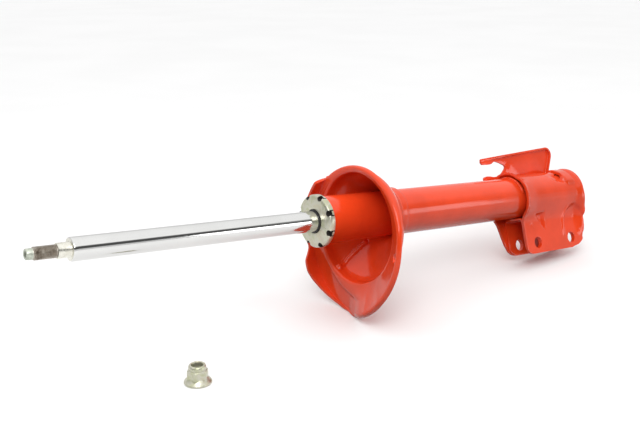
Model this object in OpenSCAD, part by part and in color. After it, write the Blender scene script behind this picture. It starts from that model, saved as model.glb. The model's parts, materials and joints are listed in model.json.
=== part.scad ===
// Twin-tube suspension strut with an offset spring seat, a pinched knuckle bracket and
// a hose bracket. It lies on its seat rim and on one ear, with its top nut loose beside it.
//
// Every piece of the strut is drawn in the strut's own frame: +X runs along the axis from the
// stud to the knuckle, x = 0 is the gland nut's front face, the ears hang toward -Z, and +Y is
// the side of the far ear. laid() then puts the strut down. The row's origin is the centre of
// the front knuckle bolt, halfway between the ears.

/* [Piston rod] */
// Diameter of the chromed rod
rod_d = 22; // [20:0.5:23]
// Bare rod between the gland nut and the top shoulder
rod_out = 265; // [240:1:280]
// Diameter of the plain shoulder above the rod
shoulder_d = 14; // [13:0.5:16]
// Length of the plain shoulder
shoulder_len = 12; // [8:1:16]
// Diameter of the threaded stud
stud_d = 12; // [12:1:12]
// Length of the stud's thread
thread_len = 21; // [18:1:26]
// Length of the stud's reduced nose
nose_len = 6; // [4:1:8]
// Distance that the rod travels from full rebound to full bump
stroke = 205; // [200:1:206]

/* [Body] */
// Outer diameter of the body tube
tube_d = 51; // [50:0.5:52]
// Wall of the body tube
tube_wall = 2.6; // [2:0.1:3]
// Station of the body tube's closed end
tube_end = 412; // [410:1:418]
// Bore of the inner pressure tube
bore_d = 32; // [32:1:32]
// Wall of the inner pressure tube
bore_wall = 1.5; // [1.2:0.1:1.8]

/* [Gland nut] */
// Outer diameter of the gland nut's rim
gland_d = 56; // [54:0.5:58]
// Thickness of the gland nut's rim
gland_t = 8; // [6:0.5:10]
// Number of spanner notches in the rim
notch_count = 8; // [6:1:10]
// Diameter of each round notch
notch_d = 6; // [4:0.5:7]
// Turn of the first notch from the top toward +Y
notch_turn = 10; // [0:1:44]

/* [Spring seat] */
// Diameter of the seat flange
seat_d = 164; // [150:1:170]
// Distance from the strut's axis to the flange's centre
seat_offset = 26.5; // [20:0.5:30]
// Station of the flange's coil face
seat_x = 49; // [45:1:55]
// Sheet thickness of the seat
seat_sheet = 3; // [2.5:0.1:3.5]
// Diameter of the cup's mouth
cup_d = 120; // [110:1:124]
// Distance from the strut's axis to the mouth's centre
cup_offset = 12.5; // [8:0.5:16]
// Depth from the coil face to the cup's bottom
cup_depth = 48; // [44:1:54]
// Height of the raised lip at the coil's end
lip_h = 12; // [8:1:15]

/* [Knuckle bracket] */
// Sheet thickness of the bracket
ear_sheet = 3; // [2.5:0.1:3.5]
// Width over the two ears
ear_width = 36; // [34:1:40]
// Diameter of the knuckle bolt holes
bolt_d = 14; // [12:0.5:16]
// Station of the front bolt hole
bolt_x = 328; // [325:1:332]
// Distance between the two bolt holes
bolt_pitch = 65.6; // [60:0.2:70]
// Distance from the strut's axis to the bolt holes
bolt_drop = 59.5; // [56:0.5:62]
// Distance from the strut's axis to the ears' lower edge
ear_drop = 72.5; // [70:0.5:76]
// Sheet thickness of the reinforcement channel
channel_sheet = 2.5; // [2:0.1:3]

/* [Hose bracket] */
// Sheet thickness of the hose bracket
hose_sheet = 2.5; // [2:0.1:3]
// Depth of the folded edge
hose_fold = 6; // [4:0.5:8]

/* [Top nut] */
// Diameter of the nut's flange
nut_flange_d = 26; // [24:0.5:28]
// Width across the nut's flats
nut_af = 18; // [17:0.5:19]
// Height of the nut without its locking collar
nut_h = 14; // [12:0.5:16]
// Height of the locking collar
nut_collar_h = 4.5; // [3:0.5:5]

/* [Lying pose] */
// Roll about the axis, which leans the ears toward -Y
lay_roll = 21; // [20:0.5:22]
// Rise of the rod end
lay_pitch = 5.32; // [5:0.02:6]

/* [Hidden] */
$fn = 96;
eps = 0.01;

paint = [0.87, 0.24, 0.13];
zinc = [0.82, 0.82, 0.68];
chrome = [0.85, 0.86, 0.88];
steel = [0.55, 0.55, 0.56];
sinter = [0.42, 0.41, 0.40];
rubber = [0.06, 0.06, 0.06];
bronze = [0.62, 0.48, 0.30];
ptfe = [0.20, 0.30, 0.28];

rod_r = rod_d / 2;
tube_r = tube_d / 2;
tube_in_r = tube_r - tube_wall;
bore_r = bore_d / 2;
run_gap = 0.05;               // radial clearance of every running fit
slack = 0.1;                  // clearance of loosely guided valve plates

gland_spigot = 12;            // threaded length of the gland nut inside the tube
gland_mouth_r = 12.4;         // opening in the gland nut round the seal lip
seal_pocket_r = 18;           // pocket for the seal in the gland nut

guide_x = 20.1;               // front face of the rod guide's flange
guide_boss_x = 10.6;
bore_x0 = 28;                 // front end of the pressure tube
guide_end = 36;
bush_r = 12.55;

stop_x = 46;                  // rebound stop ring
stop_t = 3;
stop_groove_r = 10;

rod_step_x = 101;             // the rod steps down to the piston's spigot here
rod_spigot_r = 7;
piston_x0 = 106;
piston_x1 = 124;
piston_r = 15.7;
band_x0 = 109;
band_x1 = 121;
band_seat_r = 14.2;
piston_nut_x = 126.5;
piston_nut_h = 9;
piston_nut_af = 22;
rod_inner_end = 138;
passage_ring_r = 11.5;        // pitch radius of the piston's oil passages

bump_room = 35;               // oil left between the rod and the foot valve at full bump
valve_top = rod_inner_end + stroke + bump_room;
valve_foot = valve_top + 12;
bore_x1 = valve_top + 6;      // rear end of the pressure tube
valve_hub_r = 7;
valve_bolt_r = 4;
valve_passage_r = 10.5;
cap_x = valve_top + 26;       // inner face of the base cap
check_t = 1;                  // thickness of both lifting plates
check_lift = 1.2;             // travel of both lifting plates

seat_r = seat_d / 2;
cup_r = cup_d / 2;
cup_end_r = 27.3;             // radius of the cup's bottom
seat_sleeve = 12.5;           // length of the seat's sleeve on the tube
cup_end = seat_x + cup_depth + seat_sleeve;
lip_from = 24;                // the lip's ends, as angles from the top toward +Y
lip_to = 130;
lip_low_h = 3;                // height of the lip between its two raised lobes
edge_fold = 6;                // depth of the flange's folded edge
drain_r = 3.5;

wrap_r = tube_r + ear_sheet;
wrap_x0 = 305;                // ends of the wrap round the tube
wrap_x1 = 419;
rim_x = 408;                  // the wrap flares out from here
rim_r = 31;
ear_y = ear_width / 2;
ear_in_y = ear_y - ear_sheet;
ear_x0 = 307;                 // ends of the near ear
ear_x1 = 418;
taper_x = 294.5;              // the far ear's front edge starts here at the tube
bolt_x2 = bolt_x + bolt_pitch;
channel_x0 = 308.5;
channel_x1 = 408;
channel_top = 26.2;

hose_y = 8;                   // near face of the hose bracket's plate
hose_x0 = 274.5;
hose_x1 = 413.7;

nut_x = -493;                 // the loose nut stands here, in the row's frame
nut_y = -29.3;
floor_z = -25.65;
nut_bore_r = 5.1;             // minor radius of the nut's thread

// ---------------------------------------------------------------- helpers

// Puts a strut piece down: the front bolt's centre goes to the origin
module laid() {
    rotate([-lay_roll, lay_pitch, 0])
        translate([-bolt_x, 0, bolt_drop])
            children();
}

// Turns what is drawn along +Z onto the strut's axis, with its foot at station x
module along(x) {
    translate([x, 0, 0])
        rotate([0, 90, 0])
            children();
}

// A plain ring from station x0 to x1
module ring(x0, x1, r_out, r_in) {
    along(x0)
        difference() {
            cylinder(h = x1 - x0, r = r_out);
            translate([0, 0, -1])
                cylinder(h = x1 - x0 + 2, r = r_in);
        }
}

// A plain rod from station x0 to x1
module bar(x0, x1, r) {
    along(x0)
        cylinder(h = x1 - x0, r = r);
}

// A turned piece: the outline's points are [radius, station]
module turned(points) {
    along(0)
        rotate_extrude()
            polygon(points);
}

// A row of holes round the axis
module hole_circle(x0, x1, pitch_r, r, count) {
    for (i = [0 : count - 1])
        rotate([i * 360 / count, 0, 0])
            translate([0, 0, pitch_r])
                bar(x0, x1, r);
}

// Points along an arc, for outlines with rounded corners
function arc(cx, cy, r, from, to, steps = 6) =
    [for (i = [0 : steps]) let (a = from + (to - from) * i / steps) [cx + r * cos(a), cy + r * sin(a)]];

// A plate in the strut's X-Z plane, from y0 to y1
module side_plate(y0, y1) {
    translate([0, y1, 0])
        rotate([90, 0, 0])
            linear_extrude(height = y1 - y0)
                children();
}

// ---------------------------------------------------------------- body

module outer_tube() {
    color(paint)
        laid()
            ring(gland_t, tube_end, tube_r, tube_in_r);
}

module base_cap() {
    color(paint)
        laid() {
            ring(cap_x + 4, tube_end, tube_in_r, tube_in_r - 2.4);
            bar(cap_x, cap_x + 4, tube_in_r);
        }
}

// A disc of the seat: r is its radius, drop its distance below the strut's axis
module seat_disc(x0, x1, r, drop) {
    translate([0, 0, -drop])
        bar(x0, x1, r);
}

// The cup is a bowl round its own axis, with the sleeve that holds the tube at its bottom
module seat_cup() {
    floor_x = seat_x + cup_depth;
    difference() {
        union() {
            translate([0, 0, -cup_offset])
                turned([
                    [cup_r, seat_x + 0.5], [cup_r - 0.6, seat_x + 12.5], [cup_r - 1.8, seat_x + 16.5],
                    [cup_end_r, floor_x], [0, floor_x], [0, floor_x + seat_sheet],
                    [cup_end_r + 1.2, floor_x + seat_sheet], [cup_r + 2, seat_x + 18],
                    [cup_r + seat_sheet - 0.5, seat_x + 14], [cup_r + seat_sheet, seat_x + 2],
                    [cup_r + seat_sheet, seat_x + 0.5]
                ]);
            bar(floor_x - 10.5, cup_end, tube_r + seat_sheet);
        }
        bar(seat_x, cup_end + 1, tube_r);
    }
}

// Part of the raised lip, between two angles from the top toward +Y
module seat_lip(height, from, to) {
    translate([0, 0, -seat_offset])
        along(seat_x - height)
            rotate([0, 0, 180 - to])
                rotate_extrude(angle = to - from)
                    translate([seat_r - seat_sheet + 0.2, 0])
                        square([seat_sheet - 0.4, height + 2]);
}

// Takes the lip down to its low height between two angles
module lip_gap(from, to) {
    translate([0, 0, -seat_offset])
        along(seat_x - lip_h - 1)
            rotate([0, 0, 180 - to])
                rotate_extrude(angle = to - from)
                    translate([seat_r - seat_sheet - 2, 0])
                        square([seat_sheet + 4, lip_h + 1 - lip_low_h]);
}

module spring_seat() {
    color(paint)
        laid() {
            difference() {
                seat_disc(seat_x, seat_x + seat_sheet, seat_r - 1, seat_offset);
                seat_disc(seat_x - 1, seat_x + seat_sheet + 1, cup_r + 1, cup_offset);
                translate([0, -63, -51])
                    bar(seat_x - 1, seat_x + seat_sheet + 1, drain_r);
            }
            seat_cup();
            translate([0, 0, -seat_offset])
                ring(seat_x + 0.5, seat_x + edge_fold, seat_r, seat_r - seat_sheet);
            difference() {
                seat_lip(lip_h, lip_from, lip_to);
                lip_gap(72, 96);
                lip_gap(118, lip_to + 2);
            }
        }
}

// A bead with a triangular section, between a sleeve's end and the tube
module seat_weld() {
    color(paint)
        laid()
            turned([[tube_r, cup_end], [tube_r + seat_sheet, cup_end], [tube_r, cup_end + 4]]);
}

// ---------------------------------------------------------------- knuckle bracket

// Section across the strut: a wrap round the tube that pinches in to two ears
module wrap_section(r, y) {
    circle(r = r);
    polygon([[ear_drop + 1, -y], [ear_drop + 1, y], [0, y], [0, -y]]);
}

module near_ear_outline() {
    polygon(concat(
        [[wrap_x0, 40], [wrap_x0, -8], [ear_x0, -26]],
        arc(ear_x0 + 9, -ear_drop + 9, 9, 180, 270),
        arc(ear_x1 - 14, -ear_drop + 14, 14, 270, 360),
        [[ear_x1, -24], [wrap_x1, -8], [wrap_x1, 40]]
    ));
}

module far_ear_outline() {
    polygon(concat(
        [[wrap_x0, 40], [wrap_x0, -16], [taper_x, -19], [taper_x, -26], [taper_x + 9, -56]],
        arc(ear_x0 + 16, -ear_drop + 14, 14, 190, 270),
        arc(ear_x1 - 14, -ear_drop + 14, 14, 270, 360),
        [[ear_x1, -24], [wrap_x1, -8], [wrap_x1, 40]]
    ));
}

module bolt_holes() {
    for (x = [bolt_x, bolt_x2])
        translate([x, 40, -bolt_drop])
            rotate([90, 0, 0])
                cylinder(h = 80, d = bolt_d);
}

module clevis_bracket() {
    color(paint)
        laid() {
            difference() {
                along(taper_x - 1)
                    linear_extrude(height = wrap_x1 - taper_x + 2)
                        difference() {
                            wrap_section(wrap_r, ear_y);
                            circle(r = tube_r);
                            translate([0, -ear_in_y])
                                square([ear_drop + 2, 2 * ear_in_y]);
                        }
                side_plate(-60, 0)
                    difference() {
                        translate([taper_x - 20, -100])
                            square([wrap_x1 - taper_x + 40, 200]);
                        near_ear_outline();
                    }
                side_plate(-eps, 60)
                    difference() {
                        translate([taper_x - 20, -100])
                            square([wrap_x1 - taper_x + 40, 200]);
                        far_ear_outline();
                    }
                bolt_holes();
            }
            along(0)
                rotate([0, 0, 86])
                    rotate_extrude(angle = 188)
                        polygon([
                            [wrap_r - eps, rim_x], [rim_r, wrap_x1 - 1], [rim_r, wrap_x1],
                            [rim_r - 2, wrap_x1], [wrap_r - eps, rim_x + 5]
                        ]);
        }
}

// A channel inside the ears, open downward
module clevis_reinforcement() {
    y_in = ear_in_y - channel_sheet;
    color(paint)
        laid()
            difference() {
                side_plate(-ear_in_y, ear_in_y)
                    polygon(concat(
                        [[channel_x0, -channel_top], [channel_x0, -40]],
                        arc(channel_x0 + 8, -ear_drop + 11, 8, 180, 270),
                        arc(channel_x1 - 10, -ear_drop + 13, 10, 270, 360),
                        [[channel_x1, -channel_top]]
                    ));
                translate([channel_x0 - 1, -y_in, -ear_drop - 1])
                    cube([channel_x1 - channel_x0 + 2, 2 * y_in, ear_drop + 1 - channel_top - channel_sheet]);
                bolt_holes();
            }
}

// Beads along the wrap's front edge, on the tube, on either side of the hose bracket
module clevis_welds() {
    color(paint)
        laid()
            difference() {
                along(0)
                    rotate([0, 0, 100])
                        rotate_extrude(angle = 160)
                            polygon([[tube_r, wrap_x0], [tube_r + 2, wrap_x0], [tube_r, wrap_x0 - 3]]);
                translate([wrap_x0 - 4, hose_y - 0.5, 0])
                    cube([5, hose_sheet + 1, 40]);
            }
}

// ---------------------------------------------------------------- hose bracket

module hose_outline() {
    polygon(concat(
        [[hose_x0 + 4, 22], [hose_x0 + 4, 30], [284, 31.2]],
        [[299, 29.5], [308, 31], [318, 39], [317, 44], [301, 49.5], [294, 46.5]],
        [[hose_x0 + 2.5, 46.3], [hose_x0, 53.2]],
        arc(hose_x1 - 8.5, 52.2, 9.5, 96, -22),
        [[402.5, 28], [402.5, 22]]
    ));
}

// The rim of the plate that is folded toward the near ear
module hose_rim() {
    t = hose_sheet;
    polygon(concat(
        [[hose_x0, 53.2]],
        arc(hose_x1 - 8.5, 52.2, 9.5, 96, -22),
        [[402.8, 28.5], [402.8 - t, 28.5]],
        arc(hose_x1 - 8.5, 52.2, 9.5 - t, -22, 96),
        [[hose_x0 + 0.5, 53.2 - t]]
    ));
}

module hose_bracket() {
    color(paint)
        laid()
            difference() {
                union() {
                    side_plate(hose_y, hose_y + hose_sheet)
                        hose_outline();
                    side_plate(hose_y - hose_fold, hose_y + eps)
                        hose_rim();
                }
                bar(0, wrap_x0, tube_r);
                bar(wrap_x0 - eps, wrap_x1, wrap_r);
            }
}

module hose_bracket_weld() {
    weld_y = hose_y + hose_sheet;
    weld_z = sqrt(wrap_r * wrap_r - weld_y * weld_y);
    color(paint)
        laid()
            difference() {
                translate([wrap_x0 + 8, weld_y, weld_z - 1.5])
                    rotate([0, 90, 0])
                        cylinder(h = 78, r = 2.6, $fn = 24);
                translate([wrap_x0, hose_y - 8, 20])
                    cube([100, 8 + hose_sheet, 40]);
                bar(wrap_x0 - eps, wrap_x1, wrap_r);
            }
}

// ---------------------------------------------------------------- gland and guide

module gland_nut() {
    color(zinc)
        laid()
            difference() {
                turned([
                    [gland_mouth_r, 0], [gland_d / 2 - 1, 0], [gland_d / 2, 1],
                    [gland_d / 2, gland_t], [tube_in_r - run_gap, gland_t],
                    [tube_in_r - run_gap, gland_t + gland_spigot],
                    [seal_pocket_r, gland_t + gland_spigot], [seal_pocket_r, 2], [gland_mouth_r, 2]
                ]);
                rotate([-notch_turn, 0, 0])
                    hole_circle(-1, gland_t - 1.5, gland_d / 2 - 1, notch_d / 2, notch_count);
            }
}

module seal_case() {
    color(steel)
        laid()
            turned([
                [16.5, 2.2], [seal_pocket_r - 0.05, 2.2], [seal_pocket_r - 0.05, 10.4],
                [12.8, 10.4], [12.8, 9.2], [16.5, 9.2]
            ]);
}

module rod_seal() {
    lip_r = rod_r + run_gap;
    color(rubber)
        laid()
            turned([
                [lip_r, -0.8], [12.2, -0.8], [12.2, 2.2], [16.4, 2.2], [16.4, 4.5],
                [13, 4.5], [13, 8], [lip_r, 8]
            ]);
}

module seal_garter_spring() {
    color(steel)
        laid()
            along(6.4)
                rotate_extrude()
                    translate([13.8, 0])
                        circle(r = 0.7, $fn = 24);
}

module rod_guide() {
    color(sinter)
        laid()
            difference() {
                turned([
                    [bush_r, guide_boss_x], [seal_pocket_r - 0.2, guide_boss_x],
                    [seal_pocket_r - 0.2, guide_x], [tube_in_r - run_gap, guide_x],
                    [tube_in_r - run_gap, bore_x0], [bore_r - run_gap, bore_x0],
                    [bore_r - run_gap, guide_end], [bush_r, guide_end]
                ]);
                ring(23, 25.6, tube_in_r + 1, tube_in_r - 2.1);
            }
}

module tube_o_ring() {
    color(rubber)
        laid()
            along(24.3)
                rotate_extrude()
                    translate([tube_in_r - 1.05, 0])
                        circle(r = 1, $fn = 24);
}

module guide_bush() {
    color(bronze)
        laid()
            ring(13, guide_end - 2, bush_r, rod_r + run_gap);
}

module pressure_tube() {
    color(steel)
        laid()
            ring(bore_x0, bore_x1, bore_r + bore_wall, bore_r);
}

// ---------------------------------------------------------------- foot valve

module base_valve_body() {
    color(sinter)
        laid()
            difference() {
                union() {
                    bar(valve_top - 3.4, valve_top + eps, valve_hub_r);
                    bar(valve_top, bore_x1, bore_r - run_gap);
                    bar(bore_x1, valve_foot, 19);
                    ring(valve_foot - eps, cap_x, 19, 16.5);
                }
                bar(valve_top - 4, valve_foot + 1, valve_bolt_r);
                hole_circle(valve_top - 1, valve_foot + 1, valve_passage_r, 1.6, 8);
                for (i = [0 : 2])
                    rotate([i * 60, 0, 0])
                        translate([valve_foot + 5, -3, -20])
                            cube([10, 6, 40]);
            }
}

module base_valve_bolt() {
    color(steel)
        laid() {
            bar(valve_top - 11, valve_foot + 1.8, valve_bolt_r - run_gap);
            along(valve_foot + 1.8)
                cylinder(h = 4, d = 11.5, $fn = 6);
        }
}

module base_valve_nut() {
    color(steel)
        laid()
            difference() {
                along(valve_top - 9)
                    cylinder(h = 4.4, d = 14.4, $fn = 6);
                bar(valve_top - 10, valve_top - 3, valve_bolt_r);
            }
}

module base_valve_discs() {
    color(steel)
        laid()
            for (i = [0 : 2])
                ring(valve_foot + 0.6 * i, valve_foot + 0.6 * (i + 1), 13 - 2 * i, valve_bolt_r);
}

module base_check_plate() {
    color(steel)
        laid()
            ring(valve_top - check_t - run_gap, valve_top - run_gap, 14, valve_hub_r + slack);
}

// A star spring: a hub with six fingers that reach over the plate
module star_spring(x, thick, hub_r, hole_r, reach) {
    difference() {
        union() {
            ring(x, x + thick, hub_r, hole_r);
            for (i = [0 : 2])
                rotate([i * 60, 0, 0])
                    translate([x, -1.5, -reach])
                        cube([thick, 3, 2 * reach]);
        }
        bar(x - 1, x + thick + 1, hole_r);
    }
}

module base_check_spring() {
    color(steel)
        laid()
            star_spring(valve_top - check_t - check_lift - 2, 0.7, 9, valve_bolt_r, 13);
}

// ---------------------------------------------------------------- rod and piston

module piston_rod() {
    thread_x = -rod_out - shoulder_len;
    nose_x = thread_x - thread_len;
    end_x = nose_x - nose_len;
    shoulder_r = shoulder_d / 2;
    stud_r = stud_d / 2;
    nose_r = stud_r - 1;
    color(chrome)
        laid()
            difference() {
                turned([
                    [0, end_x], [nose_r - 1, end_x], [nose_r, end_x + 1], [nose_r, nose_x],
                    [stud_r - 0.5, nose_x], [stud_r, nose_x + 0.5], [stud_r, thread_x],
                    [shoulder_r, thread_x], [shoulder_r, -rod_out], [rod_r - 0.6, -rod_out],
                    [rod_r, -rod_out + 0.6], [rod_r, stop_x], [stop_groove_r, stop_x],
                    [stop_groove_r, stop_x + stop_t], [rod_r, stop_x + stop_t],
                    [rod_r, rod_step_x], [rod_spigot_r, rod_step_x],
                    [rod_spigot_r, rod_inner_end], [0, rod_inner_end]
                ]);
                along(end_x - 1)
                    cylinder(h = 6, d = 5.8, $fn = 6);
            }
}

module rebound_stop() {
    color(steel)
        laid()
            ring(stop_x, stop_x + stop_t, 14.6, stop_groove_r);
}

module rebound_bumper() {
    color(rubber)
        laid()
            ring(guide_end + 0.4, stop_x, 14.4, rod_r);
}

module piston() {
    color(sinter)
        laid()
            difference() {
                union() {
                    bar(rod_step_x + 1, piston_x0 + eps, 8.6);
                    bar(piston_x0, piston_x1, piston_r);
                }
                bar(rod_step_x - 1, piston_x1 + 1, rod_spigot_r);
                ring(band_x0, band_x1, piston_r + 1, band_seat_r);
                hole_circle(piston_x0 - 1, piston_x1 + 1, passage_ring_r, 1.4, 8);
            }
}

module piston_band() {
    color(ptfe)
        laid()
            ring(band_x0 + 0.1, band_x1 - 0.1, bore_r - run_gap, band_seat_r + 0.08);
}

module piston_shims() {
    color(steel)
        laid()
            for (i = [0 : 4])
                ring(piston_x1 + 0.5 * i, piston_x1 + 0.5 * (i + 1), 14 - i, rod_spigot_r);
}

module piston_check_plate() {
    color(steel)
        laid()
            ring(piston_x0 - check_t - run_gap, piston_x0 - run_gap, 14.5, 8.6 + slack);
}

module piston_check_spring() {
    color(steel)
        laid()
            star_spring(rod_step_x, 0.9, 10.5, rod_spigot_r, 13.5);
}

module piston_nut() {
    color(steel)
        laid()
            difference() {
                along(piston_nut_x)
                    cylinder(h = piston_nut_h, d = piston_nut_af / cos(30), $fn = 6);
                bar(piston_nut_x - 1, piston_nut_x + piston_nut_h + 1, rod_spigot_r);
            }
}

// ---------------------------------------------------------------- loose top nut

module flange_nut() {
    flange_t = 2;
    color(zinc)
        translate([nut_x, nut_y, floor_z])
            difference() {
                union() {
                    cylinder(h = flange_t, d = nut_flange_d);
                    translate([0, 0, flange_t - eps])
                        cylinder(h = 3.5, d1 = nut_flange_d, d2 = nut_af - 1);
                    cylinder(h = nut_h, d = nut_af / cos(30), $fn = 6);
                }
                translate([0, 0, -1])
                    cylinder(h = nut_h + 2, r = nut_bore_r);
            }
}

module nut_locking_ring() {
    color(zinc)
        translate([nut_x, nut_y, floor_z + nut_h])
            rotate_extrude()
                polygon([
                    [nut_bore_r + 0.3, 0], [8.4, 0], [8.4, nut_collar_h - 1.4],
                    [7.4, nut_collar_h], [nut_bore_r + 0.3, nut_collar_h]
                ]);
}

outer_tube();
base_cap();
spring_seat();
seat_weld();
clevis_bracket();
clevis_reinforcement();
clevis_welds();
hose_bracket();
hose_bracket_weld();
gland_nut();
seal_case();
rod_seal();
seal_garter_spring();
tube_o_ring();
rod_guide();
guide_bush();
pressure_tube();
base_valve_body();
base_valve_bolt();
base_valve_nut();
base_valve_discs();
base_check_plate();
base_check_spring();
piston_rod();
rebound_bumper();
rebound_stop();
piston();
piston_band();
piston_shims();
piston_check_plate();
piston_check_spring();
piston_nut();
flange_nut();
nut_locking_ring();
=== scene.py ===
"""Looks for a suspension strut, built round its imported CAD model.

The pressed, turned, threaded, plated and welded pieces that show are made here in mesh code and
stand for their CAD nodes. Every other node keeps its CAD shape and gets a procedural finish.
Shapes are drawn in the strut's own frame, in millimetres: +X runs along the axis from the gland
nut toward the knuckle, the ears hang toward -Z, and +Y is the side of the hose bracket.
"""

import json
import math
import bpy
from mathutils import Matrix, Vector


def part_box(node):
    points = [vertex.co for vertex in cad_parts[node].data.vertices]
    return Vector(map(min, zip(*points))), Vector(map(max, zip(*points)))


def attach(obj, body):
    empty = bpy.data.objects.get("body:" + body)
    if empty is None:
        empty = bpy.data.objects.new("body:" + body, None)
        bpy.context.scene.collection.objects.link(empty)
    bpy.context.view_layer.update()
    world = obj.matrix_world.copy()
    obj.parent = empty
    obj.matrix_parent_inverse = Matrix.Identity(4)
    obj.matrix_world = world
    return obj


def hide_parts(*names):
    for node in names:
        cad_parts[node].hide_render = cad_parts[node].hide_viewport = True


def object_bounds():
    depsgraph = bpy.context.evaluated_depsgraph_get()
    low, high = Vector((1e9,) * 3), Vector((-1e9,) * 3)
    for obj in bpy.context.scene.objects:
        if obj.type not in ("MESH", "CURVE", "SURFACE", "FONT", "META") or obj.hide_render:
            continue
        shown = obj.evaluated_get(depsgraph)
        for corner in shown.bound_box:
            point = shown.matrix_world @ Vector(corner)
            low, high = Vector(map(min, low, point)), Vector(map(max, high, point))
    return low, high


bl_info = {
    "name": "Suspension strut",
    "version": (1, 0, 0),
    "blender": (4, 5, 0),
    "location": "View3D > Sidebar > Strut",
    "description": "Builds the pressed, turned and plated pieces of a suspension strut round its frame",
    "category": "Object",
}

import bmesh
import bpy
from bpy.props import FloatProperty, FloatVectorProperty, PointerProperty
from mathutils import Matrix, Vector, noise

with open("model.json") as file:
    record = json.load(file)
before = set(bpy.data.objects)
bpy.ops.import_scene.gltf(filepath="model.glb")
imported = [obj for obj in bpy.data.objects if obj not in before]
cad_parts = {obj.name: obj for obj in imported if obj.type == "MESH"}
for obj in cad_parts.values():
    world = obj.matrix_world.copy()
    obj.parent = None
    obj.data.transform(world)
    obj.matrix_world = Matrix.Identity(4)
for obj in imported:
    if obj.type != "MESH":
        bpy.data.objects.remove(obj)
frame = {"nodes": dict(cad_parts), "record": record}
CAD_BOX = [list(corner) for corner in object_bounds()]

MM = 0.001

# Sizes that the pieces share with the CAD model, in millimetres in the strut's frame
BOLT_X = 328.0
BOLT_PITCH = 65.6
BOLT_DROP = 59.5
BOLT_R = 7.0
TUBE_R = 25.5
ROD_R = 11.0
ROD_OUT = 265.0
SHOULDER_LEN = 12.0
THREAD_LEN = 21.0
NOSE_LEN = 6.0
SHEET = 3.0
THIN_SHEET = 2.5
SEAT_X = 49.0
SEAT_R = 82.0
SEAT_DROP = 26.5
RIM_INSET = 3.4
DRAIN_YZ = (-70.0, -50.5)
DRAIN_R = 4.4
CUP_DROP = 12.5
CUP_SHIFT = 4.0
SLEEVE_END = 109.5
EAR_DROP = 72.5
EAR_Y = 16.5
EAR_X0 = 307.0
EAR_X1 = 419.5
FOOT_X1 = 417.0
WRAP_R = 27.0
WRAP_X0 = 305.0
WRAP_X1 = 417.0
CHANNEL_X0 = 308.5
CHANNEL_X1 = 408.0
HOSE_Y = 9.25
GLAND_R = 28.0
GLAND_T = 8.0
NOTCH_R = 3.0
NOTCH_INSET = 1.4
NOTCH_DEPTH = 5.0
NOTCH_TURN = 10.0

# The seat's raised lip as fractions of its full height, by the angle in degrees from the top toward +Y
LIP = [(0, -0.25), (20, -0.30), (22.5, -0.25), (24.5, 0.35), (27, 0.97), (40, 0.88), (60, 0.84),
       (76, 0.62), (88, 0.14), (93, 0.40), (99, 0.84), (108, 0.94), (115, 0.76), (122, 0.50),
       (132, 0.16), (143, -0.18), (360, -0.25)]
# How far the rim stands forward of the coil face's plane, by the same angle
FORWARD = [(158, 0), (170, 4), (180, 9), (190, 12.5), (210, 14), (223, 12.5), (240, 10.5), (256, 9),
           (267, 7), (283, 5), (304, 3), (330, 1), (350, 0)]
# Where the coil's groove starts between the cup's mouth (0) and the rim (1), by the same angle
STEP_LINE = [(100, 0.02), (120, 0.08), (140, 0.22), (150, 0.30), (165, 0.40), (180, 0.50), (195, 0.58)]
# The cup's wall from its mouth (0) to the sleeve (1): station, radius and drop of its centre
CUP_WALL = [(0, 49.9, 61.1, 12.5), (0.22, 61.5, 60.8, 12.5), (0.30, 66.0, 58.9, 12.3),
            (0.42, 72.0, 53.0, 10.7), (1.0, 98.5, 28.8, 1.8)]
# Angle of the cup's rib, by its place on the wall
RIB_LINE = [(0.08, 132.0), (0.38, 127.5), (0.6, 128.0), (0.85, 130.5)]
# Front edge of the far ear, rear edge of both and the near ear's flared rear, by height
FAR_FRONT = [(-72.5, 322), (-71.7, 317), (-70, 313), (-66.5, 308.8), (-56, 303.4), (-40, 298.6),
             (-26, 294.6), (-20, 294.2), (-16, 304), (-14, WRAP_X0)]
REAR = [(-56, FOOT_X1), (-52, EAR_X1), (-24, EAR_X1), (-4, WRAP_X1)]
FLARE = [(-60, 0), (-52, 2.5), (-46, 4.8), (-40, 6.3), (-28, 7.6), (-18, 4.8), (-8, 1.5), (0, 0)]
# How far the near ear's foot is cut back toward its rear, by station
FOOT_RISE = [(394, 0.0), (397, 1.0), (412, 3.6), (419, 5.0)]
# Corners of the near ear's dart, as station and height
DART = [(326.0, -22.8), (345.5, -46.0), (346.2, -21.2)]
# Lower edge of the hose bracket with its hooked slot, from the rear foot to the upper jaw
HOSE_EDGE = [(396.3, 26.5), (380, 26.3), (350, 26.3), (320, 26.3), (306.5, 26.3), (304, 25.6),
             (290, 24.6), (279.5, 24.8), (277.2, 26.4), (276.9, 28.6), (278.4, 30.4), (283, 31.3),
             (289, 30.9), (295, 29.8), (303, 29.9), (308, 31.2), (313, 35.0), (318, 39.2), (319, 41.2),
             (318, 43.4), (310, 46.9), (302, 49.2), (298.5, 48.6), (295, 46.6), (292, 45.9), (285, 45.8),
             (279, 46.0), (276.6, 47.4), (275.6, 50.0)]

# The studio's greys, by the sine of the elevation, in front of the strut and behind it
ROOM = [(-1, 0.12), (-0.02, 0.12), (0, 0.5), (0.13, 0.5), (0.2, 0.06), (0.46, 0.06), (0.58, 0.8), (1, 0.8)]
BACKDROP = [(-1, 0.12), (-0.02, 0.12), (0, 0.55), (0.35, 0.50), (0.6, 0.72), (1, 0.8)]


def clamp(value, low=0.0, high=1.0):
    return max(low, min(high, value))


def ease(start, end, value):
    """0 before start, 1 after end, and a soft step between them."""
    t = clamp((value - start) / (end - start))
    return t * t * (3 - 2 * t)


def window(low, high, soft, value):
    """1 between low and high, fading to 0 over soft on both sides."""
    return ease(low - soft, low, value) * (1 - ease(high, high + soft, value))


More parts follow.
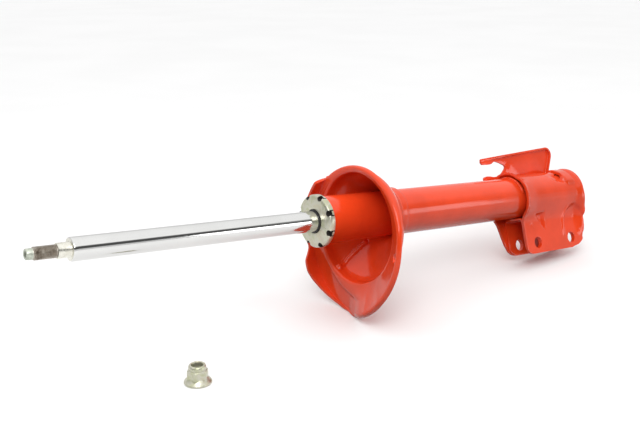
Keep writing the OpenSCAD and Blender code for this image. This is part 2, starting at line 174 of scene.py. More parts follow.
def bell(distance, reach):
    """1 at no distance, falling smoothly to 0 at reach."""
    d = abs(distance) / reach
    return 0.0 if d >= 1 else 0.5 + 0.5 * math.cos(math.pi * d)


def blend_table(table, value):
    """Reads a value from (key, result) pairs in rising order of key, with straight lines between."""
    if value <= table[0][0]:
        return table[0][1]
    for (k0, r0), (k1, r1) in zip(table, table[1:]):
        if value <= k1:
            return r0 + (r1 - r0) * (value - k0) / (k1 - k0)
    return table[-1][1]


def steps(low, high, count):
    return [low + (high - low) * i / count for i in range(count + 1)]


def strut_matrix():
    """From the strut's frame in millimetres to the row's frame in metres, read from the record."""
    mounts = {m["name"]: m for m in frame["record"]["mounts"]}
    slide = next(j for j in frame["record"]["behaviour"]["joints"] if j["name"] == "rod_slide")
    along = Vector(slide["axis"]).normalized()
    side = -Vector(mounts["knuckle_bore_front"]["axis"]).normalized()
    up = along.cross(side)
    turn = Matrix((along, side, up)).transposed().to_4x4()
    bolt = Vector(mounts["knuckle_bore_front"]["pos_m"])
    centre = Matrix.Translation((-BOLT_X, 0, BOLT_DROP))
    return Matrix.Translation(bolt) @ turn @ Matrix.Scale(MM, 4) @ centre


STRUT = strut_matrix()


def grid_faces(rows, cols, closed_rows=False, closed_cols=False):
    """Quads over points that are stored row by row."""
    faces = []
    for i in range(rows if closed_rows else rows - 1):
        for j in range(cols if closed_cols else cols - 1):
            a, b = i * cols + j, i * cols + (j + 1) % cols
            c, d = ((i + 1) % rows) * cols + (j + 1) % cols, ((i + 1) % rows) * cols + j
            faces.append((a, b, c, d))
    return faces


def tube_faces(rows, sides):
    """Faces of a tube with closed ends."""
    ends = [tuple(range(sides)), tuple(range((rows - 1) * sides, rows * sides))]
    return grid_faces(rows, sides, closed_cols=True) + ends


def new_piece(name, points, faces, matrix=STRUT):
    """Makes an object from points in millimetres, with its seams joined and its faces outward."""
    mesh = bpy.data.meshes.new(name)
    mesh.from_pydata([tuple(p) for p in points], [], faces)
    mesh.transform(matrix)
    bm = bmesh.new()
    bm.from_mesh(mesh)
    bmesh.ops.remove_doubles(bm, verts=bm.verts, dist=1e-7)
    bmesh.ops.dissolve_degenerate(bm, edges=bm.edges, dist=1e-7)
    bmesh.ops.recalc_face_normals(bm, faces=bm.faces)
    bm.to_mesh(mesh)
    bm.free()
    piece = bpy.data.objects.new(name, mesh)
    bpy.context.scene.collection.objects.link(piece)
    return piece


def freeze(piece, cutters=()):
    """Applies the piece's modifiers to its mesh and deletes the cutters that they used."""
    bpy.context.view_layer.update()
    shaped = bpy.data.meshes.new_from_object(piece.evaluated_get(bpy.context.evaluated_depsgraph_get()))
    piece.modifiers.clear()
    piece.data = shaped
    for cutter in cutters:
        bpy.data.objects.remove(cutter, do_unlink=True)


def smooth_by_angle(piece, degrees):
    """Smooth shading with the edges sharper than the angle kept crisp."""
    bm = bmesh.new()
    bm.from_mesh(piece.data)
    limit = math.radians(degrees)
    for face in bm.faces:
        face.smooth = True
    for edge in bm.edges:
        edge.smooth = len(edge.link_faces) != 2 or edge.calc_face_angle(0.0) < limit
    bm.to_mesh(piece.data)
    bm.free()


def add_step(piece, kind, **settings):
    """Adds a modifier with its settings."""
    step = piece.modifiers.new(kind, kind)
    for key, value in settings.items():
        setattr(step, key, value)


def cut(piece, cutters):
    """Takes the cutters out of the piece."""
    for cutter in cutters:
        add_step(piece, "BOOLEAN", operation="DIFFERENCE", solver="EXACT", object=cutter)
    freeze(piece, cutters)


def round_edges(piece, width, degrees):
    """Rounds the edges sharper than the angle by a width in millimetres."""
    angle = math.radians(degrees)
    add_step(piece, "BEVEL", width=width * MM, segments=2, limit_method="ANGLE", angle_limit=angle)
    freeze(piece)


def cylinder_cutter(start, end, radius, sides=48):
    """A plain cylinder between two points, in millimetres, to cut with."""
    start, end = Vector(start), Vector(end)
    along = (end - start).normalized()
    across = along.orthogonal().normalized()
    other = along.cross(across)
    points = []
    for centre in (start, end):
        for i in range(sides):
            a = 2 * math.pi * i / sides
            points.append(centre + radius * (math.cos(a) * across + math.sin(a) * other))
    return new_piece("cutter", points, tube_faces(2, sides))


def turned_piece(name, rows, segments=96, radius=None, closed=True, matrix=STRUT, upright=False):
    """A turned piece of (station, radius) rows, which radius(station, r, angle) may reshape.

    A closed outline ends where it began."""
    points = []
    for station, r in rows:
        for j in range(segments):
            a = 2 * math.pi * j / segments
            rr = radius(station, r, a) if radius else r
            if upright:
                points.append((rr * math.cos(a), rr * math.sin(a), station))
            else:
                points.append((station, rr * math.sin(a), rr * math.cos(a)))
    faces = grid_faces(len(rows), segments, closed_rows=closed, closed_cols=True)
    return new_piece(name, points, faces, matrix)


def thread_depth(station, angle, pitch, depth):
    """How far a thread's flank lies below its crest at a place on the helix."""
    phase = (station / pitch - angle / (2 * math.pi)) % 1.0
    return depth * clamp((abs(phase - 0.5) * 2 - 0.1) / 0.72)


def bead(name, centres, normals, width, height, seed, ripple=2.6):
    """A weld bead along a row of points: a flattened, rippled half-round with slightly uneven edges."""
    sides = 14
    points = []
    travelled = 0.0
    count = len(centres)
    for i, (centre, normal) in enumerate(zip(centres, normals)):
        ahead = Vector(centres[min(i + 1, count - 1)]) - Vector(centres[max(i - 1, 0)])
        if i:
            travelled += (Vector(centre) - Vector(centres[i - 1])).length
        along = ahead.normalized()
        up = Vector(normal).normalized()
        side = along.cross(up).normalized()
        phase = (travelled / ripple) % 1.0
        wave = 0.86 + 0.14 * math.sqrt(max(0.0, 1 - (2 * phase - 1) ** 2))
        wander = noise.noise(Vector((travelled * 0.09, seed, 0.0)))
        taper = clamp(min(i, count - 1 - i) / 3.0 + 0.25)
        for k in range(sides):
            a = 2 * math.pi * k / sides
            w = width * wave * taper * (1 + 0.14 * wander)
            h = height * wave * taper * (1 + 0.10 * wander)
            lag = 0.5 * ripple * math.cos(a) ** 2
            spot = Vector(centre) + side * (w * math.cos(a) + 0.3 * wander)
            points.append(spot + up * (h * math.sin(a)) - along * lag)
    return new_piece(name, points, tube_faces(count, sides))


def add_node(tree, kind, output, sockets, **settings):
    """Adds a node, fills its sockets with constants or other nodes' outputs, and gives one output."""
    node = tree.nodes.new(kind)
    for key, value in settings.items():
        setattr(node, key, value)
    for key, source in sockets.items():
        if isinstance(source, bpy.types.NodeSocket):
            tree.links.new(source, node.inputs[key])
        else:
            node.inputs[key].default_value = source
    return node.outputs[output]


def add_ramp(tree, value, stops):
    """Colours by value. stops are (position, colour), and a colour may be one number."""
    node = tree.nodes.new("ShaderNodeValToRGB")
    node.color_ramp.interpolation = "EASE"
    elements = node.color_ramp.elements
    while len(elements) < len(stops):
        elements.new(0.5)
    for element, (position, colour) in zip(elements, stops):
        element.position = position
        element.color = (*colour[:3], 1.0) if hasattr(colour, "__len__") else (colour, colour, colour, 1.0)
    tree.links.new(value, node.inputs["Fac"])
    return node.outputs["Color"]


class Finish:
    """A procedural material, put together one node at a time."""

    def __init__(self, name):
        self.material = bpy.data.materials.new(name)
        self.material.use_nodes = True
        self.tree = self.material.node_tree
        self.shader = next(n for n in self.tree.nodes if n.type == "BSDF_PRINCIPLED")
        spot = self.add("ShaderNodeTexCoord", "Object", {})
        turn = STRUT.to_quaternion().inverted().to_euler()
        self.place = self.add("ShaderNodeMapping", "Vector", {"Vector": spot, "Rotation": turn})

    def add(self, kind, output, sockets, **settings):
        return add_node(self.tree, kind, output, sockets, **settings)

    def noise(self, scale, detail=3.0, rough=0.5, distortion=0.0, place=None):
        return self.add("ShaderNodeTexNoise", "Fac", {
            "Scale": scale, "Detail": detail, "Roughness": rough, "Distortion": distortion,
            "Vector": place or self.place})

    def rings(self, along, round_axis, detail=3.0):
        """Noise drawn out into rings round the strut's axis, by its scale along and across the axis."""
        scale = (along, round_axis, round_axis)
        place = self.add("ShaderNodeMapping", "Vector", {"Vector": self.place, "Scale": scale})
        return self.noise(1.0, detail, 0.6, place=place)

    def cells(self, scale):
        return self.add("ShaderNodeTexVoronoi", "Distance", {"Scale": scale, "Vector": self.place})

    def ramp(self, value, stops):
        return add_ramp(self.tree, value, stops)

    def span(self, value, low, high, from_low=0.3, from_high=0.7):
        """The value, moved from one range to another."""
        return self.add("ShaderNodeMapRange", "Result", {
            "Value": value, "From Min": from_low, "From Max": from_high, "To Min": low, "To Max": high})

    def mix(self, factor, *colours):
        first, second = (c if isinstance(c, bpy.types.NodeSocket) else (*c, 1.0) for c in colours)
        return self.add("ShaderNodeMix", 2, {0: factor, 6: first, 7: second}, data_type="RGBA")

    def coat(self, colour, roughness, *bumps, **constants):
        """Feeds the shader's own sockets and gives the material.

        A bump is (height, strength, distance in millimetres), and lies on the one before it."""
        fed = {"Base Color": colour, "Roughness": roughness}
        for height, strength, distance in bumps:
            sockets = {"Strength": strength, "Distance": distance * MM, "Height": height}
            if "Normal" in fed:
                sockets["Normal"] = fed["Normal"]
            fed["Normal"] = self.add("ShaderNodeBump", "Normal", sockets)
        for socket, output in fed.items():
            if output is not None:
                self.tree.links.new(output, self.shader.inputs[socket])
        for key, value in constants.items():
            self.shader.inputs[key.replace("_", " ")].default_value = value
        return self.material


def plain_finish(name, mottle, colours, shine, span, grain, **constants):
    """A finish with one mottle of colour, one of shine and one raised grain.

    mottle and shine are noise settings, and grain(finish) gives the bump."""
    f = Finish(name)
    colour = f.ramp(f.noise(*mottle), colours)
    return f.coat(colour, f.span(f.noise(*shine), *span), grain(f), **constants)


def paint_finish(looks):
    """Glossy enamel over pressed sheet: a soft mottle, orange peel, a little dust and thin spots."""
    f = Finish("red_enamel")
    base = Vector(looks.paint)
    deep, light = base * 0.86, base * 1.05
    colour = f.ramp(f.noise(17, 4, 0.55), [(0.32, deep), (0.68, light)])
    dust = f.ramp(f.noise(620, 2, 0.6), [(0.70, 0.0), (0.80, 0.35)])
    waves, peel = (f.noise(34, 2), 0.35, 0.5), (f.noise(480, 2, 0.4), 0.22, 0.05)
    return f.coat(f.mix(dust, colour, base * 0.62), f.span(f.noise(42, 5, 0.6), 0.08, 0.18), waves, peel,
                  Metallic=0.0, IOR=1.38, Coat_Weight=0.1, Coat_Roughness=0.04)


def zinc_finish(looks):
    """Passivated zinc: a pale satin plate with soft yellow, green, rose and blue films."""
    f = Finish("zinc_film")
    pale = Vector(looks.zinc)
    film = f.ramp(
        f.noise(70, 4, 0.62, 0.8),
        [(0.28, (0.38, 0.42, 0.44)), (0.40, (0.44, 0.46, 0.26)), (0.50, pale),
         (0.60, (0.52, 0.49, 0.34)), (0.70, (0.50, 0.40, 0.38)), (0.82, (0.36, 0.44, 0.34))],
    )
    grain, spangle = (f.noise(900, 3, 0.6), 0.25, 0.03), (f.cells(420), 0.15, 0.03)
    return f.coat(f.mix(0.35, film, pale), f.span(f.noise(260, 4, 0.6), 0.26, 0.44), grain, spangle,
                  Metallic=0.82)


def chrome_finish(looks):
    """Ground and polished hard chrome, with the finest traces of the grinding round the rod."""
    f = Finish("ground_chrome")
    rings = f.rings(5200, 30, 4)
    colour = f.ramp(f.noise(24), [(0.3, Vector(looks.chrome) * 0.95), (0.7, looks.chrome)])
    return f.coat(colour, f.span(rings, 0.05, 0.12), (rings, 0.05, 0.01), Metallic=1.0)


def thread_finish(looks):
    """Oiled, rolled thread steel with a brown cast in its flanks."""
    browns = [(0.30, (0.20, 0.165, 0.13)), (0.52, (0.36, 0.32, 0.27)), (0.72, (0.52, 0.49, 0.44))]
    return plain_finish("thread_steel", (210, 5, 0.65), browns, (700,), (0.28, 0.48),
                        lambda f: (f.noise(1500, 3, 0.6), 0.3, 0.02), Metallic=0.9)


def turned_finish(looks):
    """Bright turned steel, slightly warm, with tool marks round it."""
    f = Finish("turned_steel")
    rings = f.rings(2600, 40)
    colour = f.ramp(f.noise(120, 4, 0.6), [(0.3, (0.62, 0.60, 0.52)), (0.7, (0.80, 0.79, 0.72))])
    return f.coat(colour, f.span(rings, 0.20, 0.36), (rings, 0.25, 0.02), Metallic=0.95)


def notch_shade_finish(looks):
    """Painted shade: near-black, oily steel at the bottom of the spanner notches stands in for the shade deep
    in them.
    """
    shade_darks = [(0.3, (0.012, 0.009, 0.007)), (0.7, (0.035, 0.028, 0.022))]
    return plain_finish("notch_painted_shade", (400, 4, 0.6), shade_darks, (900,), (0.45, 0.65),
                        lambda f: (f.noise(1200), 0.3, 0.02), Metallic=0.4)


def nose_finish(looks):
    """The stud's pale, faintly green nose."""
    greens = [(0.3, (0.40, 0.43, 0.36)), (0.7, (0.62, 0.65, 0.56))]
    return plain_finish("nose_steel", (300, 4, 0.6), greens, (800,), (0.3, 0.5),
                        lambda f: (f.noise(1300), 0.3, 0.02), Metallic=0.75)


def steel_finish(looks):
    """Oiled bright steel of the pieces inside."""
    greys = [(0.3, (0.40, 0.40, 0.41)), (0.7, (0.62, 0.62, 0.62))]
    return plain_finish("oiled_steel", (80, 4, 0.6), greys, (400, 4), (0.22, 0.42),
                        lambda f: (f.rings(1800, 60), 0.2, 0.02), Metallic=1.0)


def rubber_finish(looks):
    """Satin black rubber with a faint moulded grain."""
    blacks = [(0.3, (0.010, 0.010, 0.011)), (0.7, (0.028, 0.027, 0.026))]
    return plain_finish("moulded_rubber", (150, 4), blacks, (600,), (0.42, 0.62),
                        lambda f: (f.noise(1400, 3, 0.6), 0.3, 0.03), Metallic=0.0, IOR=1.52)


def sinter_finish(looks):
    """Matt sintered iron, open-grained and a little oily."""
    f = Finish("sintered_grain")
    grain = f.cells(1400)
    colour = f.ramp(f.noise(240, 5, 0.7), [(0.3, (0.10, 0.098, 0.094)), (0.7, (0.22, 0.215, 0.205))])
    return f.coat(colour, f.span(grain, 0.5, 0.8, 0.1, 0.7), (grain, 0.5, 0.06), Metallic=0.7)


def bronze_finish(looks):
    """Bronze bearing strip with a rolled grain."""
    browns = [(0.3, (0.30, 0.18, 0.08)), (0.7, (0.46, 0.31, 0.15))]
    return plain_finish("bearing_strip", (180, 4, 0.6), browns, (500,), (0.28, 0.45),
                        lambda f: (f.rings(1500, 50), 0.25, 0.02), Metallic=1.0)


def plastic_finish(looks):
    """Filled bearing plastic with light flecks."""
    f = Finish("flecked_plastic")
    flecks = f.ramp(f.cells(900), [(0.05, 0.6), (0.16, 0.0)])
    colour = f.mix(flecks, (0.021, 0.048, 0.042), (0.10, 0.14, 0.13))
    shine = f.span(f.noise(500), 0.4, 0.55)
    return f.coat(colour, shine, (f.noise(1100), 0.25, 0.02), Metallic=0.0, IOR=1.4)


FINISHES = {
    "body_paint": paint_finish,
    "zinc_plate": zinc_finish,
    "hard_chrome": chrome_finish,
    "thread_steel": thread_finish,
    "turned_steel": turned_finish,
    "nose_steel": nose_finish,
    "notch_painted_shade": notch_shade_finish,
    "plain_steel": steel_finish,
    "black_rubber": rubber_finish,
    "sintered_iron": sinter_finish,
    "bearing_bronze": bronze_finish,
    "bearing_plastic": plastic_finish,
}
MADE = {}


def finish(name):
    """The finish of that name, made the first time that it is asked for."""
    if name not in MADE:
        MADE[name] = FINISHES[name](bpy.context.scene.strut_looks)
    return MADE[name]


def dress(piece, node, sharp, body="strut_body", slot="body_paint", others=()):
    """Shades the piece, coats it with its slot's finish and any others, hides the node that it stands for and
    hangs it on the empty of what it rides on.
    """
    smooth_by_angle(piece, sharp)
    piece.data.materials.clear()
    for name in (slot, *others):
        piece.data.materials.append(finish(name))
    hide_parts(node)
    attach(piece, body)


def form(piece, node, sheet, cutters=(), width=0.6, bend=48.0, sharp=46.0):
    """Gives a mid-surface its sheet thickness, cuts and rounded edges, and dresses the piece."""
    add_step(piece, "SOLIDIFY", thickness=sheet * MM, offset=0.0)
    cut(piece, cutters)
    round_edges(piece, width, bend)
    dress(piece, node, sharp)


def tint(name, description, default):
    return FloatVectorProperty(
        name=name, description=description, subtype="COLOR", size=3, min=0, max=1, default=default)


def length(name, description, default, high, low=0):
    """A length setting, given in millimetres."""
    return FloatProperty(
        name=name, description=description, unit="LENGTH", default=default * MM, min=low * MM, max=high * MM)


class StrutLooks(bpy.types.PropertyGroup):
    """Colours of the finishes."""

    paint: tint("Paint", "Colour of the enamel on the sheet pieces", (0.84, 0.062, 0.013))
    zinc: tint("Zinc", "Palest colour of the zinc plate", (0.56, 0.55, 0.46))
    chrome: tint("Chrome", "Colour of the rod's chrome", (0.68, 0.68, 0.67))


class StrutShapes(bpy.types.PropertyGroup):
    """Sizes of the pressed and formed details."""

    lip: length("Seat lip", "Height of the seat's raised lip over the coil face", 13, 20)
    groove: length("Coil groove", "Depth of the groove that the coil's end lies in", 5.5, 8)
    rib: length("Cup rib", "Height of the straight rib in the seat's cup", 3, 6)
    dart: length("Ear dart", "Depth of the three-cornered dart in the near ear", 3.4, 6)
    arch: length("Ear arch", "Depth of the arched pocket at the rear of the near ear", 2.6, 5)
    hood: length("Wrap hood", "Height of the wrap's raised hood and rear rim", 2.7, 5)
    fold: length("Hose bracket fold", "Depth of the hose bracket's folded edge", 6, 8, 3)
    pitch: length("Thread pitch", "Pitch of the stud's and the nut's thread", 1.25, 2, 1)


class StrutStudio(bpy.types.PropertyGroup):
    """Camera and light."""

    stand: FloatVectorProperty(
        name="Camera stand", description="Where the camera stands",
        subtype="TRANSLATION", size=3, default=(-0.85119, -0.69071, 0.3656))
    azimuth: FloatProperty(
        name="Azimuth", description="Turn of the camera about the vertical",
        subtype="ANGLE", default=math.radians(-37.1))
    elevation: FloatProperty(
        name="Elevation", description="Angle that the camera looks down",
        subtype="ANGLE", default=math.radians(17.0))
    lens: FloatProperty(
        name="Lens", description="Focal length in millimetres on a 36 mm sensor",
        default=50.0, min=20, max=120)
    sky: FloatProperty(
        name="Sky", description="Brightness of the white tent round the strut",
        default=1.6, min=0, max=4)


def mm(value):
    """A setting's length in millimetres."""
    return value / MM


def seat_lip(angle, full):
    """How far the seat's rim stands forward at an angle. Folded back is negative."""
    near = [blend_table(LIP, angle + d) for d in (-1.6, -0.8, 0, 0.8, 1.6)]
    return full * sum(near) / len(near)


def coil_groove(angle, out, shapes):
    """Depth of the coil's groove. out runs from 0 at the cup's mouth to 1 at the rim."""
    line = blend_table(STEP_LINE, angle)
    return mm(shapes.groove) * window(58, 146, 38, angle) * ease(line - 0.09, line + 0.09, out)


def coil_face(angle, out, shapes):
    """How far the coil face lies behind its plane, with its groove and its ramp."""
    return coil_groove(angle, out, shapes) - blend_table(FORWARD, angle) * out


def seat_edge(angle, along, shapes):
    """Radius and set-back of the rim's bend and strip. along runs from 0 to 1."""
    travel = seat_lip(angle, mm(shapes.lip)) + coil_groove(angle, 1.0, shapes)
    swing = math.pi / 2 * clamp(abs(travel) / 3.0)
    bend_len = 3.0
    strip_len = max(abs(travel) - 1.9, 0.8)
    s = min(along * 2, 1.0) * bend_len
    k = max(swing, 1e-3) / bend_len
    r = math.sin(k * s) / k
    back = (1 - math.cos(k * s)) / k
    rest = max(0.0, along * 2 - 1) * strip_len
    r += rest * math.cos(swing) - 0.05 * rest * clamp(travel / 6)
    back += rest * math.sin(swing)
    return SEAT_R - RIM_INSET + r, -math.copysign(back, travel) + coil_face(angle, 1.0, shapes)


def cup_wall(value):
    """Station, radius and drop of the cup's wall, with its bends softened."""
    near = [value + d for d in (-0.04, -0.02, 0, 0.02, 0.04)]
    tables = [[(row[0], row[i]) for row in CUP_WALL] for i in (1, 2, 3)]
    return [sum(blend_table(table, v) for v in near) / len(near) for table in tables]


def seat_row(kind, value, angle, shapes):
    """A point of the seat's mid-surface: which band it is in, and where in that band."""
    a = math.radians(angle)
    across, up = math.sin(a), math.cos(a)
    sleeve_r = TUBE_R + SHEET / 2
    if kind == "sleeve":
        return value, sleeve_r * across, sleeve_r * up
    if kind == "wall":
        x, r, drop = cup_wall(value)
        knob = bell(value - 0.12, 0.05) + bell(value - 0.80, 0.06)
        offset = angle - blend_table(RIB_LINE, value)
        rib = window(0.10, 0.80, 0.03, value) * bell(offset, (2.9 + 1.8 * value) * (1 + 0.15 * knob)) ** 0.6
        rise = mm(shapes.rib) * rib * (1 + 0.3 * knob)
        cone = ease(0.22, 0.42, value)
        x -= rise * (cone * 0.7)
        r -= rise * (1 - 0.3 * cone)
        return x, r * across - CUP_SHIFT * (1 - ease(0.3, 1.0, value)), r * up - drop
    plane = SEAT_X + SHEET / 2
    mouth_r = cup_wall(0.045)[1]
    if kind == "mouth":
        turn = value * math.pi / 2
        r = mouth_r + 2.0 * (1 - math.cos(turn))
        x = plane + 2.0 * (1 - math.sin(turn)) + coil_face(angle, 0, shapes) * value
        return x, r * across - CUP_SHIFT, r * up - CUP_DROP
    if kind == "flange":
        inner = Vector(((mouth_r + 2.0) * across - CUP_SHIFT, (mouth_r + 2.0) * up - CUP_DROP))
        outer = Vector(((SEAT_R - RIM_INSET) * across, (SEAT_R - RIM_INSET) * up - SEAT_DROP))
        spot = inner.lerp(outer, value)
        return plane + coil_face(angle, value, shapes), spot.x, spot.y
    r, back = seat_edge(angle, value, shapes)
    return plane + back, r * across, r * up - SEAT_DROP


class STRUT_OT_spring_seat(bpy.types.Operator):
    """Presses the offset spring seat: cup, coil face, groove, raised lip and folded rim"""

    bl_idname = "strut.spring_seat"
    bl_label = "Spring seat"

    def execute(self, context):
        shapes = context.scene.strut_shapes
        rows = [("sleeve", x) for x in (SLEEVE_END, 107.0, 105.0, 103.0, 101.6)]
        rows += [("wall", v) for v in steps(1.0, 0.045, 46)]
        rows += [("mouth", v) for v in (0.35, 0.7, 1.0)]
        rows += [("flange", v) for v in steps(0.0, 1.0, 18)[1:]]
        rows += [("edge", v) for v in (0.12, 0.25, 0.38, 0.5, 0.62, 0.75, 0.88, 1.0)]
        count = 360
        angles = [360.0 * j / count for j in range(count)]
        points = [seat_row(kind, value, angle, shapes) for kind, value in rows for angle in angles]
        seat = new_piece("pressed_spring_seat", points, grid_faces(len(rows), count, closed_cols=True))
        drain = cylinder_cutter((SEAT_X - 25, *DRAIN_YZ), (SEAT_X + 15, *DRAIN_YZ), DRAIN_R)
        form(seat, "spring_seat", SHEET, [drain], 0.7, 50.0, 50)
        return {"FINISHED"}


def bracket_section():
    """Mid-line of the bracket's section from the near ear's foot over the tube to the far ear's foot.

    Each point is (y, z, outward y, outward z, side), with side -1 on the near ear and 1 on the far one."""
    half = []
    z = -EAR_DROP
    while z < -34.01:
        half.append((EAR_Y, z, 1.0, 0.0))
        z += 0.9 if z < -58 else 1.75
    p0, p1 = Vector((EAR_Y, -34)), Vector((EAR_Y, -26.5))
    start = math.radians(110)
    p3 = Vector((WRAP_R * math.sin(start), WRAP_R * math.cos(start)))
    p2 = p3 + 8.5 * Vector((math.cos(start), -math.sin(start)))
    for i in range(13):
        t = i / 13
        spot = (1 - t) ** 3 * p0 + 3 * (1 - t) ** 2 * t * p1 + 3 * (1 - t) * t * t * p2 + t**3 * p3
        slope = 3 * (1 - t) ** 2 * (p1 - p0) + 6 * (1 - t) * t * (p2 - p1) + 3 * t * t * (p3 - p2)
        slope.normalize()
        half.append((spot.x, spot.y, slope.y, -slope.x))
    for i in range(34):
        a = start * (1 - i / 33)
        half.append((WRAP_R * math.sin(a), WRAP_R * math.cos(a), math.sin(a), math.cos(a)))
    near = [(-y, z, -ny, nz, -1) for y, z, ny, nz in half]
    far = [(y, z, ny, nz, 1) for y, z, ny, nz in reversed(half[:-1])]
    return near + far


def corner_inset(z, radius):
    """How far the round corner at an ear's foot pulls its edge in at a height."""
    drop = max(0.0, radius - EAR_DROP - z)
    return radius - math.sqrt(max(0.0, radius**2 - drop**2))


def bracket_ends(z, side):
    """Front and rear station of the bracket's edge at a height on one side."""
    if side < 0:
        front = blend_table([(-26, EAR_X0), (-8, WRAP_X0)], z) + corner_inset(z, 9.0)
    else:
        front = blend_table(FAR_FRONT, z)
    return front, blend_table(REAR, z) - corner_inset(z, 11.0)


def triangle_inset(x, z, corners):
    """How far a place lies inside a triangle, or 0 outside it."""
    least = 1e9
    for i in range(3):
        (x0, z0), (x1, z1) = corners[i], corners[(i + 1) % 3]
        edge = math.hypot(x1 - x0, z1 - z0)
        least = min(least, ((x1 - x0) * (z - z0) - (z1 - z0) * (x - x0)) / edge)
    return max(0.0, least)


def bracket_relief(x, y, z, side, front, rear, shapes):
    """How far the sheet stands out of its plain section at a place."""
    out = 0.0
    turn = math.degrees(math.atan2(abs(y), z))
    shoulder = -side * turn
    on_wrap = ease(-30, -12, z) if side < 0 else ease(-14, -6, z)
    rolled = 1.9 + 2.6 * (1 - ease(20, 62, turn))
    out += rolled * (1 - ease(0.5, 6.5, x - front)) * on_wrap
    if side < 0:
        out += 2.8 * (1 - ease(0, 26, x - front)) * window(60, 122, 25, turn)
        out -= mm(shapes.dart) * clamp(triangle_inset(x, z, DART) / 3.6) ** 0.85
        out -= 1.1 * bell(math.hypot(x - 319.7, z + 35.6), 2.2)
        arch = math.hypot((x - 403) / 20.5, (z + 50) / 35.0)
        out -= mm(shapes.arch) * (1 - ease(0.88, 1.02, arch)) * ease(-58, -34, z)
        out += 1.0 * bell(arch - 1.1, 0.13) * ease(-60, -45, z) * (1 - ease(-22, -16, z))
        out += blend_table(FLARE, z) * ease(404, rear, x) ** 1.4
    else:
        out += 2.5 * ease(405, rear, x) ** 2 * ease(-60, -40, z) * (1 - ease(-14, -4, z))
    hood = ease(386.5, 389.5, x - 0.004 * (shoulder - 36) ** 2) * window(-62, 60, 18, shoulder)
    out += mm(shapes.hood) * hood * (1 - ease(404, 409, x))
    out += mm(shapes.hood) * 1.15 * ease(406, 414, x) * ease(-24, -6, z)
    tongue = math.hypot((x - 388) / 24.0, (shoulder - 46) / 20.0)
    sunk = (1 - ease(386.5, 389.5, x)) * (0.35 + 0.65 * ease(366, 386, x))
    out -= 2.4 * (1 - ease(0.78, 1.0, tongue)) * sunk
    return out


class STRUT_OT_knuckle_bracket(bpy.types.Operator):
    """Presses the knuckle bracket with its pinched ears, dart, arch and hood, and the channel inside it"""

    bl_idname = "strut.knuckle_bracket"
    bl_label = "Knuckle bracket"

    def execute(self, context):
        shapes = context.scene.strut_shapes
        section = bracket_section()
        columns = 104
        points = []
        for y, z, ny, nz, side in section:
            front, rear = bracket_ends(z, side)
            for j in range(columns + 1):
                x = front + (rear - front) * j / columns
                low = blend_table(FOOT_RISE, x) if side < 0 else 0.0
                zz = z + low * ease(-62, -72.5, z)
                out = bracket_relief(x, y, z, side, front, rear, shapes)
                points.append((x, y + ny * out, zz + nz * out))
        bracket = new_piece("pressed_knuckle_bracket", points, grid_faces(len(section), columns + 1))
        form(bracket, "clevis_bracket", SHEET, [*self.drills(), self.lance()])
        self.channel()
        return {"FINISHED"}

    def drills(self):
        return [
            cylinder_cutter((x, -40, -BOLT_DROP), (x, 40, -BOLT_DROP), BOLT_R)
            for x in (BOLT_X, BOLT_X + BOLT_PITCH)
        ]

    def lance(self):
        """The curved slit in front of the hood."""
        points = []
        for x in (385.4, 389.8):
            for r, along in ((26.0, 1), (36.0, -1)):
                for turn in steps(12, 50, 12)[::along]:
                    a = math.radians(turn)
                    points.append((x - 0.004 * (turn - 36) ** 2, -r * math.sin(a), r * math.cos(a)))
        return new_piece("cutter", points, tube_faces(2, 26))

    def channel(self):
        """The channel between the ears, bent from one strip."""
        leg_y, top_z, bend = 13.75, -27.45, 4.0
        half = [(leg_y, z) for z in (-EAR_DROP + 0.6, -71, -69, -66, -62, -56, -50, -44, -38)]
        for i in range(7):
            a = math.pi / 2 * i / 6
            half.append((leg_y - bend + bend * math.cos(a), top_z - bend + bend * math.sin(a)))
        half += [(leg_y - bend - 3 * i, top_z) for i in (1, 2)]
        section = [(-y, z) for y, z in half] + [(0, top_z)] + list(reversed(half))
        points = []
        columns = 46
        for y, z in section:
            drop = max(0.0, -EAR_DROP + 11 - z)
            front = CHANNEL_X0 + 8 - math.sqrt(8**2 - min(drop, 8) ** 2)
            rear = CHANNEL_X1 - 10 + math.sqrt(10**2 - min(drop, 10) ** 2)
            points += [(front + (rear - front) * j / columns, y, z) for j in range(columns + 1)]
        channel = new_piece("bent_channel", points, grid_faces(len(section), columns + 1))
        form(channel, "clevis_reinforcement", THIN_SHEET, self.drills(), 0.5)


